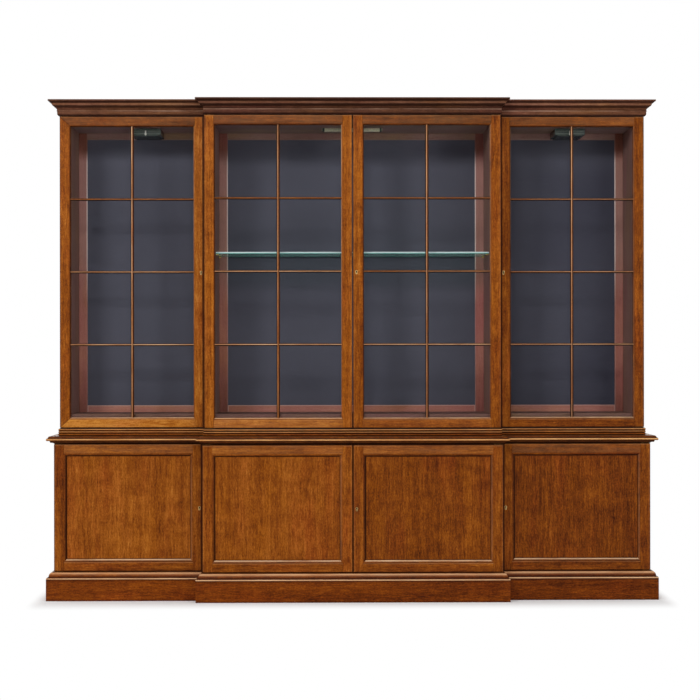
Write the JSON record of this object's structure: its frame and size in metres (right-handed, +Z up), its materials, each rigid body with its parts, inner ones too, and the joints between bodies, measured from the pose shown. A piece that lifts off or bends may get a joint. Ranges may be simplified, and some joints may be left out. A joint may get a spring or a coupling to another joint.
{
  "type": "breakfront bookcase cabinet",
  "caption": "Breakfront bookcase in two parts: glazed display case with hinged astragal doors over a panelled cupboard base, with cornice, waist moulding and plinth.",
  "frame": {"origin": "middle of the footprint, on the floor", "axes": "+X to the right seen from the front, the doors face -Y, +Z up"},
  "size_m": [2.794, 0.461, 2.286],
  "materials": {
    "mahogany": "polished figured mahogany, aged, satin to gloss",
    "dark_mahogany": "dark aged mahogany, waxed, duller than the doors",
    "inner_mahogany": "reddish mahogany inside the display bays, satin",
    "carcass_wood": "unpolished inner boards",
    "slate_cloth": "slate blue-grey cloth stretched over a board",
    "pane_glass": "clear thin glass",
    "shelf_glass": "clear thick glass with green edges",
    "brass": "aged polished brass",
    "lamp_body": "dark grey gloss housing",
    "lamp_diffuser": "cream diffuser"
  },
  "bodies": {
    "cabinet": {"plinth": "mahogany", "base_floor": "carcass_wood", "base_left_side": "mahogany", "base_right_side": "mahogany", "base_left_divider": "carcass_wood", "base_right_divider": "carcass_wood", "base_back": "carcass_wood", "base_top": "mahogany", "waist_moulding": "mahogany", "upper_floor": "inner_mahogany", "upper_left_side": "mahogany", "upper_right_side": "mahogany", "upper_left_divider": "mahogany", "upper_right_divider": "mahogany", "upper_back_frame": "inner_mahogany", "back_lining": "slate_cloth", "upper_top": "inner_mahogany", "cornice": "dark_mahogany", "glass_shelf": "shelf_glass", "left_light": "lamp_body", "centre_light": "lamp_diffuser", "right_light": "lamp_body", "lower_left_hinge_bottom": "brass", "lower_left_hinge_top": "brass", "lower_centre_left_hinge_bottom": "brass", "lower_centre_left_hinge_top": "brass", "lower_centre_right_hinge_bottom": "brass", "lower_centre_right_hinge_top": "brass", "lower_right_hinge_bottom": "brass", "lower_right_hinge_top": "brass", "upper_left_hinge_bottom": "brass", "upper_left_hinge_top": "brass", "upper_centre_left_hinge_bottom": "brass", "upper_centre_left_hinge_top": "brass", "upper_centre_right_hinge_bottom": "brass", "upper_centre_right_hinge_top": "brass", "upper_right_hinge_bottom": "brass", "upper_right_hinge_top": "brass"},
    "lower_left_door": {"lower_left_door_frame": "mahogany", "lower_left_door_panel": "mahogany"},
    "lower_left_bolt": {"lower_left_lock_bolt": "brass"},
    "lower_centre_left_door": {"lower_centre_left_door_frame": "mahogany", "lower_centre_left_door_panel": "mahogany"},
    "lower_centre_right_door": {"lower_centre_right_door_frame": "mahogany", "lower_centre_right_door_panel": "mahogany"},
    "lower_centre_right_bolt": {"lower_centre_right_lock_bolt": "brass"},
    "lower_right_door": {"lower_right_door_frame": "mahogany", "lower_right_door_panel": "mahogany"},
    "lower_right_bolt": {"lower_right_lock_bolt": "brass"},
    "upper_left_door": {"upper_left_door_frame": "mahogany", "upper_left_door_glass": "pane_glass"},
    "upper_left_bolt": {"upper_left_lock_bolt": "brass"},
    "upper_centre_left_door": {"upper_centre_left_door_frame": "mahogany", "upper_centre_left_door_glass": "pane_glass"},
    "upper_centre_right_door": {"upper_centre_right_door_frame": "mahogany", "upper_centre_right_door_glass": "pane_glass"},
    "upper_centre_right_bolt": {"upper_centre_right_lock_bolt": "brass"},
    "upper_right_door": {"upper_right_door_frame": "mahogany", "upper_right_door_glass": "pane_glass"},
    "upper_right_bolt": {"upper_right_lock_bolt": "brass"}
  },
  "joints": [
    {"name": "lower_left_door_swing", "type": "hinge", "parent": "cabinet", "child": "lower_left_door", "pos_m": [-1.3575, -0.1105, 0.423], "axis": [0, 0, -1], "range_deg": [0, 120]},
    {"name": "lower_left_lock_slide", "type": "slide", "parent": "lower_left_door", "child": "lower_left_bolt", "axis": [1, 0, 0], "range_m": [0, 0.008]},
    {"name": "lower_centre_left_door_swing", "type": "hinge", "parent": "cabinet", "child": "lower_centre_left_door", "pos_m": [-0.6765, -0.1865, 0.423], "axis": [0, 0, -1], "range_deg": [0, 120]},
    {"name": "lower_centre_right_door_swing", "type": "hinge", "parent": "cabinet", "child": "lower_centre_right_door", "pos_m": [0.6765, -0.1865, 0.423], "axis": [0, 0, 1], "range_deg": [0, 120]},
    {"name": "lower_centre_right_lock_slide", "type": "slide", "parent": "lower_centre_right_door", "child": "lower_centre_right_bolt", "axis": [-1, 0, 0], "range_m": [0, 0.008]},
    {"name": "lower_right_door_swing", "type": "hinge", "parent": "cabinet", "child": "lower_right_door", "pos_m": [1.3575, -0.1105, 0.423], "axis": [0, 0, 1], "range_deg": [0, 120]},
    {"name": "lower_right_lock_slide", "type": "slide", "parent": "lower_right_door", "child": "lower_right_bolt", "axis": [-1, 0, 0], "range_m": [0, 0.008]},
    {"name": "upper_left_door_swing", "type": "hinge", "parent": "cabinet", "child": "upper_left_door", "pos_m": [-1.3335, -0.0835, 1.4996], "axis": [0, 0, -1], "range_deg": [0, 120]},
    {"name": "upper_left_lock_slide", "type": "slide", "parent": "upper_left_door", "child": "upper_left_bolt", "axis": [1, 0, 0], "range_m": [0, 0.008]},
    {"name": "upper_centre_left_door_swing", "type": "hinge", "parent": "cabinet", "child": "upper_centre_left_door", "pos_m": [-0.6695, -0.1595, 1.4996], "axis": [0, 0, -1], "range_deg": [0, 120]},
    {"name": "upper_centre_right_door_swing", "type": "hinge", "parent": "cabinet", "child": "upper_centre_right_door", "pos_m": [0.6695, -0.1595, 1.4996], "axis": [0, 0, 1], "range_deg": [0, 120]},
    {"name": "upper_centre_right_lock_slide", "type": "slide", "parent": "upper_centre_right_door", "child": "upper_centre_right_bolt", "axis": [-1, 0, 0], "range_m": [0, 0.008]},
    {"name": "upper_right_door_swing", "type": "hinge", "parent": "cabinet", "child": "upper_right_door", "pos_m": [1.3335, -0.0835, 1.4996], "axis": [0, 0, 1], "range_deg": [0, 120]},
    {"name": "upper_right_lock_slide", "type": "slide", "parent": "upper_right_door", "child": "upper_right_bolt", "axis": [-1, 0, 0], "range_m": [0, 0.008]}
  ]
}
